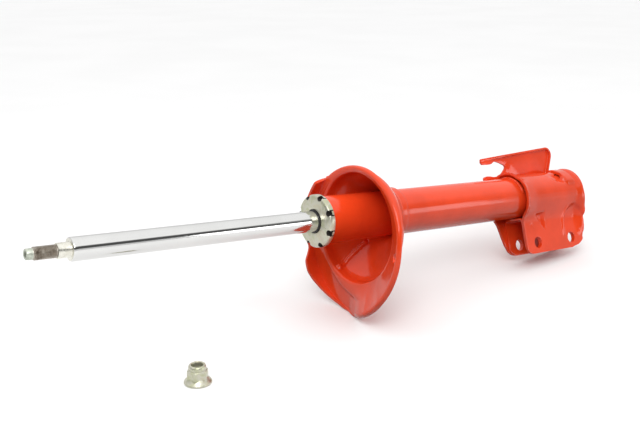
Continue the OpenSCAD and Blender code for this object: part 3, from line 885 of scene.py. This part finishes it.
class STRUT_OT_hose_bracket(bpy.types.Operator):
    """Bends the upright hose bracket, with its hooked slot and its folded top and rear edge"""

    bl_idname = "strut.hose_bracket"
    bl_label = "Hose bracket"

    def execute(self, context):
        fold = mm(context.scene.strut_shapes.fold)
        bend = 2.6
        rim = self.rim()
        count = len(rim)
        points = []
        profile = [(-fold + 0.2 + 1.25, 0.0), (-fold * 0.6, 0.0), (-bend, 0.0)]
        for i in range(1, 7):
            a = math.pi / 2 * i / 6
            profile.append((-bend + bend * math.sin(a), bend * (1 - math.cos(a))))
        profile.append((0.0, bend + 1.2))
        for i, (x, z, nx, nz) in enumerate(rim):
            run_in = ease(0, 8, i) * 0.75 + 0.25
            for back, inset in profile:
                points.append((x + nx * inset, HOSE_Y + back * run_in, z + nz * inset))
        faces = grid_faces(count, len(profile))
        inner = [(i + 1) * len(profile) - 1 for i in range(count)]
        first = len(points)
        points += [(x, HOSE_Y, z) for x, z in HOSE_EDGE]
        faces.append(tuple(inner + list(range(first, first + len(HOSE_EDGE)))))
        plate = new_piece("bent_hose_bracket", points, faces)
        bm = bmesh.new()
        bm.from_mesh(plate.data)
        bmesh.ops.triangulate(bm, faces=[f for f in bm.faces if len(f.verts) > 4])
        bm.to_mesh(plate.data)
        bm.free()
        form(plate, "hose_bracket", THIN_SHEET)
        return {"FINISHED"}

    def rim(self):
        """Mid-line of the folded edge with the way into the plate, from the tip to the rear foot."""
        top_end, centre, radius, foot = (398.9, 61.2), (399.5, 53.0), 8.2, (396.6, 28.4)
        outline = list(zip(steps(276.0, top_end[0], 22), steps(52.2, top_end[1], 22)))
        for i in range(1, 10):
            a = math.radians(94 - 116 * i / 9)
            outline.append((centre[0] + radius * math.cos(a), centre[1] + radius * math.sin(a)))
        last = outline[-1]
        outline += list(zip(steps(last[0], foot[0], 8), steps(last[1], foot[1], 8)))[1:]
        rim = []
        for i, (x, z) in enumerate(outline):
            before, after = outline[max(i - 1, 0)], outline[min(i + 1, len(outline) - 1)]
            along = Vector((after[0] - before[0], after[1] - before[1])).normalized()
            rim.append((x, z, along.y, -along.x))
        return rim


class STRUT_OT_welds(bpy.types.Operator):
    """Lays the weld beads at the seat's sleeve, the wrap's front edge and the hose bracket's foot"""

    bl_idname = "strut.welds"
    bl_label = "Weld beads"

    def execute(self, context):
        self.ring_bead("seat_bead", "seat_weld", SLEEVE_END + 0.8, TUBE_R + 0.9, range(0, 363, 3), 2.0, 3.0)
        self.ring_bead("wrap_bead", "clevis_welds", WRAP_X0 - 0.6, TUBE_R + 0.5, range(-82, 84, 3), 1.7, 7.0)
        y = HOSE_Y + 1.9
        z = math.sqrt(28.5**2 - y * y)
        centres = [(x, y + 0.6, z - 0.2) for x in steps(313, 388, 75)]
        foot = bead("hose_foot_bead", centres, [(0, 0.6, 0.8)] * len(centres), 2.1, 1.9, 11.0)
        dress(foot, "hose_bracket_weld", 60)
        return {"FINISHED"}

    def ring_bead(self, name, node, x, r, degrees, size, seed):
        centres, normals = [], []
        for d in degrees:
            a = math.radians(d)
            centres.append((x, r * math.sin(a), r * math.cos(a)))
            normals.append((-0.4 if node == "clevis_welds" else 0.4, math.sin(a), math.cos(a)))
        dress(bead(name, centres, normals, size, size * 0.8, seed), node, 60)


class STRUT_OT_gland_nut(bpy.types.Operator):
    """Turns the gland nut with its crowned face and round spanner notches"""

    bl_idname = "strut.gland_nut"
    bl_label = "Gland nut"

    def execute(self, context):
        spigot_r, pocket_r, mouth_r, end = TUBE_R - 2.65, 18.0, 12.4, GLAND_T + 12
        rows = [(0.6, mouth_r), (0.15, mouth_r + 0.5), (0.0, mouth_r + 1.4), (-0.15, 17.0), (0.0, 22.0),
                (0.35, 25.0), (0.9, 26.6), (1.7, 27.6), (2.6, GLAND_R), (GLAND_T - 0.6, GLAND_R),
                (GLAND_T, GLAND_R - 0.6), (GLAND_T, spigot_r)]
        rows += [(GLAND_T + 0.5 + 0.25 * i, spigot_r) for i in range(46)]
        rows += [(end, spigot_r - 0.6), (end, pocket_r), (2.0, pocket_r), (2.0, mouth_r)]
        pitch = 1.5

        def cut_thread(station, r, angle):
            if station > GLAND_T + 0.9 and abs(r - spigot_r) < 0.01:
                return r - thread_depth(station, angle, pitch, 0.8)
            return r

        nut = turned_piece("notched_gland_nut", rows, 128, cut_thread)
        angles = [math.radians(45 * i + NOTCH_TURN) for i in range(8)]
        ring = GLAND_R - NOTCH_INSET
        notches = [(ring * math.sin(a), ring * math.cos(a)) for a in angles]
        drills = [cylinder_cutter((-3, y, z), (NOTCH_DEPTH, y, z), NOTCH_R, 40) for y, z in notches]
        cut(nut, drills)
        round_edges(nut, 0.25, 50.0)
        dress(nut, "gland_nut", 42, slot="zinc_plate", others=["notch_painted_shade"])
        # Painted shade: the faces inside the notches take the near-black notch finish.
        back = STRUT.inverted()
        for face in nut.data.polygons:
            x, y, z = back @ face.center
            off_axis = min(math.hypot(y - cy, z - cz) for cy, cz in notches)
            if 0.4 < x < NOTCH_DEPTH + 0.1 and off_axis < NOTCH_R + 0.1:
                face.material_index = 1
        return {"FINISHED"}


class STRUT_OT_piston_rod(bpy.types.Operator):
    """Turns the chromed rod with its shoulder, rolled thread and recessed nose"""

    bl_idname = "strut.piston_rod"
    bl_label = "Piston rod"

    def execute(self, context):
        pitch = mm(context.scene.strut_shapes.pitch)
        top = -ROD_OUT
        thread_end = top - SHOULDER_LEN
        thread_start = thread_end - THREAD_LEN
        end = thread_start - NOSE_LEN
        hexagon = 2.9
        rows = [(end + 5, 0.0), (end + 5, hexagon), (end + 0.4, hexagon), (end, hexagon + 0.3), (end, 4.2),
                (end + 0.3, 4.7), (end + 0.9, 5.0), (thread_start - 1.2, 5.0), (thread_start - 0.6, 5.05)]
        rows += [(x, 6.0) for x in steps(thread_start, thread_end - 0.6, 190)]
        rows += [(thread_end - 0.3, 5.2), (thread_end - 0.05, 5.3), (thread_end, 6.6),
                 (thread_end + 0.4, 7.0), (top - 0.5, 7.0), (top - 0.1, 7.2), (top, 7.6), (top, 10.1),
                 (top + 0.25, 10.6), (top + 0.7, 10.9), (top + 1.2, ROD_R)]
        rows += [(x, ROD_R) for x in steps(top + 4, 45.6, 60)]
        rows += [(46.0, ROD_R - 0.05), (46.0, 10.0), (49.0, 10.0), (49.0, ROD_R), (60.0, ROD_R),
                 (100.6, ROD_R), (101.0, 10.6), (101.0, 7.0), (120.0, 7.0), (137.2, 7.0), (138.0, 6.2),
                 (138.0, 0.0)]

        def shape(station, r, angle):
            if abs(r - hexagon) < 0.01 and station < end + 5.1:
                corner = (angle % (math.pi / 3)) - math.pi / 6
                return hexagon * math.cos(math.pi / 6) / math.cos(corner)
            if abs(r - 6.0) < 0.001 and thread_start <= station <= thread_end:
                lead = 0.9 * (1 - ease(0, 1.2, station - thread_start))
                fade = 1 - ease(-2.2, -0.6, station - thread_end)
                return r - max(lead, thread_depth(station, angle, pitch, 0.77) * (0.25 + 0.75 * fade))
            return r

        rod = turned_piece("threaded_rod", rows, 96, shape, closed=False)
        steels = ["thread_steel", "turned_steel", "nose_steel"]
        dress(rod, "piston_rod", 34, "rod", "hard_chrome", steels)
        back = STRUT.inverted()
        for face in rod.data.polygons:
            x = (back @ face.center).x
            if x < thread_start - 0.1:
                face.material_index = 3
            elif x < thread_end - 0.1:
                face.material_index = 1
            elif x < top + 0.1:
                face.material_index = 2
        return {"FINISHED"}


class STRUT_OT_top_nut(bpy.types.Operator):
    """Forges the loose flange nut with its thread, and crimps its locking collar"""

    bl_idname = "strut.top_nut"
    bl_label = "Top nut"

    def execute(self, context):
        pitch = mm(context.scene.strut_shapes.pitch)
        low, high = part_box("flange_nut")
        foot = ((low[0] + high[0]) / 2, (low[1] + high[1]) / 2, low[2])
        matrix = Matrix.Translation(foot) @ Matrix.Scale(MM, 4)
        flat, flange_r, height, bore = 9.0, 13.0, 14.0, 5.1
        skirt = [(0.0, 12.5), (0.25, 12.85), (0.6, flange_r), (1.5, flange_r), (2.0, 12.8), (2.4, 12.2),
                 (3.2, 11.4), (4.2, 10.6), (5.4, 9.6), (6.0, 9.0)]

        def outside(station, r, angle):
            if r < 0:
                depth = thread_depth(station, angle, pitch, 0.75)
                return bore + depth * window(0.9, height - 0.9, 0.8, station)
            corner = ((angle + math.radians(12)) % (math.pi / 3)) - math.pi / 6
            hexagon = min(flat / math.cos(corner), 10.15)
            crown = 10.3 - 1.25 * max(0.0, station - (height - 1.6)) ** 1.2
            return max(blend_table(skirt, station) if station < 6 else 0.0, min(hexagon, crown))

        stations = [s for s, _ in skirt] + steps(6.6, height - 1.6, 8)
        stations += [height - 1.2, height - 0.8, height - 0.4, height]
        bore_stations = [height, *reversed(steps(0.15, height - 0.15, 120)), 0.0]
        rows = [(s, 1.0) for s in stations] + [(s, -1.0) for s in bore_stations]
        nut = turned_piece("forged_flange_nut", rows, 120, outside, matrix=matrix, upright=True)
        dress(nut, "flange_nut", 36, "top_nut", "zinc_plate")

        def crimp(station, r, angle):
            squeeze = 0.35 * max(0.0, math.cos(3 * (angle + 0.4))) ** 6
            return r - squeeze * ease(height + 1.5, height + 4, station) * (1 if r > 6.2 else 0.6)

        outline = [(0.0, 8.3), (0.8, 8.4), (2.4, 8.4), (3.2, 8.2), (3.9, 7.75), (4.35, 7.2), (4.5, 6.7),
                   (4.4, 6.1), (4.0, 5.7), (3.2, 5.5), (1.5, 5.45), (0.0, 5.45)]
        rows = [(height + s, r) for s, r in outline]
        ring = turned_piece("crimped_collar", rows, 96, crimp, matrix=matrix, upright=True)
        dress(ring, "nut_locking_ring", 50, "top_nut", "zinc_plate")
        return {"FINISHED"}


class STRUT_OT_frame_finishes(bpy.types.Operator):
    """Gives every CAD node that still shows the finish of its material slot"""

    bl_idname = "strut.frame_finishes"
    bl_label = "Frame finishes"

    def execute(self, context):
        for row in frame["record"]["subparts"]:
            node = frame["nodes"].get(row["node"])
            if node is None:
                raise RuntimeError("the frame has no node " + row["node"])
            for slot in node.material_slots:
                slot.material = finish(row["material_slot"])
            if not node.material_slots:
                node.data.materials.append(finish(row["material_slot"]))
        return {"FINISHED"}


class STRUT_OT_stage(bpy.types.Operator):
    """Sets up the pale floor, the soft light and the camera"""

    bl_idname = "strut.stage"
    bl_label = "Stage"

    def execute(self, context):
        scene = context.scene
        studio = scene.strut_studio
        self.floor(CAD_BOX[0][2])
        self.sky(scene, studio.sky)
        self.lamp("key_softbox", (-1.0, -0.9, 1.1), (-0.1, 0.0, 0.03), (0.8, 0.8), 10.0)
        self.lamp("fill_softbox", (0.85, -1.35, 0.22), (0.02, 0.0, 0.03), (0.9, 0.5), 4.5)
        lens = bpy.data.cameras.new("camera")
        lens.lens = studio.lens
        lens.sensor_width = 36
        camera = bpy.data.objects.new("camera", lens)
        camera.location = studio.stand
        camera.rotation_euler = (math.pi / 2 - studio.elevation, 0, studio.azimuth)
        scene.collection.objects.link(camera)
        scene.camera = camera
        scene.view_settings.view_transform = "Standard"
        return {"FINISHED"}

    def floor(self, height):
        half = 20.0
        mesh = bpy.data.meshes.new("studio_floor")
        corners = [(x * half, y * half, height) for x, y in ((-1, -1), (1, -1), (1, 1), (-1, 1))]
        mesh.from_pydata(corners, [], [(0, 1, 2, 3)])
        floor = bpy.data.objects.new("studio_floor", mesh)
        bpy.context.scene.collection.objects.link(floor)
        paper = Finish("studio_paper")
        white = paper.ramp(paper.noise(3, 3), [(0.3, 0.90), (0.7, 0.92)])
        mesh.materials.append(paper.coat(white, None, Roughness=0.9, Specular_IOR_Level=0.1))
        floor.visible_diffuse = False

    def sky(self, scene, strength):
        """A bright backdrop behind the strut and a room in front, whose dark band gives the chrome its line."""
        world = bpy.data.worlds.new("studio_room")
        world.use_nodes = True
        scene.world = world
        tree = world.node_tree
        back = next(n for n in tree.nodes if n.type == "BACKGROUND")
        back.inputs["Strength"].default_value = strength
        place = add_node(tree, "ShaderNodeTexCoord", "Generated", {})
        height = add_node(tree, "ShaderNodeSeparateXYZ", "Z", {"Vector": place})
        toward = add_node(tree, "ShaderNodeVectorMath", "Value", {0: place, 1: (0.6, 0.8, 0.0)},
                          operation="DOT_PRODUCT")
        rise = self.spread(tree, height, 1.0)
        greys = [add_ramp(tree, rise, [((sine + 1) / 2, grey) for sine, grey in stops])
                 for stops in (ROOM, BACKDROP)]
        mix = {0: self.spread(tree, toward, 0.25), 6: greys[0], 7: greys[1]}
        tree.links.new(add_node(tree, "ShaderNodeMix", 2, mix, data_type="RGBA"), back.inputs["Color"])

    def spread(self, tree, value, reach):
        """The value's place between -reach and reach, from 0 to 1."""
        ends = {"Value": value, "From Min": -reach, "From Max": reach}
        return add_node(tree, "ShaderNodeMapRange", "Result", ends)

    def lamp(self, name, spot, target, size, power):
        light = bpy.data.lights.new(name, "AREA")
        light.shape = "RECTANGLE"
        light.size, light.size_y = size
        light.energy = power
        lamp = bpy.data.objects.new(name, light)
        lamp.location = spot
        lamp.rotation_euler = (Vector(target) - Vector(spot)).to_track_quat("-Z", "Y").to_euler()
        bpy.context.scene.collection.objects.link(lamp)


class STRUT_PT_sidebar(bpy.types.Panel):
    """Lists the pieces and their settings in the 3D view's sidebar"""

    bl_label = "Strut"
    bl_idname = "STRUT_PT_sidebar"
    bl_space_type = "VIEW_3D"
    bl_region_type = "UI"
    bl_category = "Strut"

    def draw(self, context):
        scene = context.scene
        for group in (scene.strut_shapes, scene.strut_looks, scene.strut_studio):
            box = self.layout.box()
            for key in type(group).__annotations__:
                box.prop(group, key)
        column = self.layout.column()
        for operator in OPERATORS:
            column.operator(operator.bl_idname)


SETTINGS = {"strut_looks": StrutLooks, "strut_shapes": StrutShapes, "strut_studio": StrutStudio}
OPERATORS = (
    STRUT_OT_stage,
    STRUT_OT_spring_seat,
    STRUT_OT_knuckle_bracket,
    STRUT_OT_hose_bracket,
    STRUT_OT_welds,
    STRUT_OT_gland_nut,
    STRUT_OT_piston_rod,
    STRUT_OT_top_nut,
    STRUT_OT_frame_finishes,
)


def register():
    for cls in (*SETTINGS.values(), *OPERATORS, STRUT_PT_sidebar):
        bpy.utils.register_class(cls)
    for name, group in SETTINGS.items():
        setattr(bpy.types.Scene, name, PointerProperty(type=group))


def unregister():
    for name in SETTINGS:
        delattr(bpy.types.Scene, name)
    for cls in reversed((*SETTINGS.values(), *OPERATORS, STRUT_PT_sidebar)):
        bpy.utils.unregister_class(cls)


def main():
    register()
    for operator in OPERATORS:
        family, name = operator.bl_idname.split(".")
        getattr(getattr(bpy.ops, family), name)()


if __name__ == "__main__":
    main()
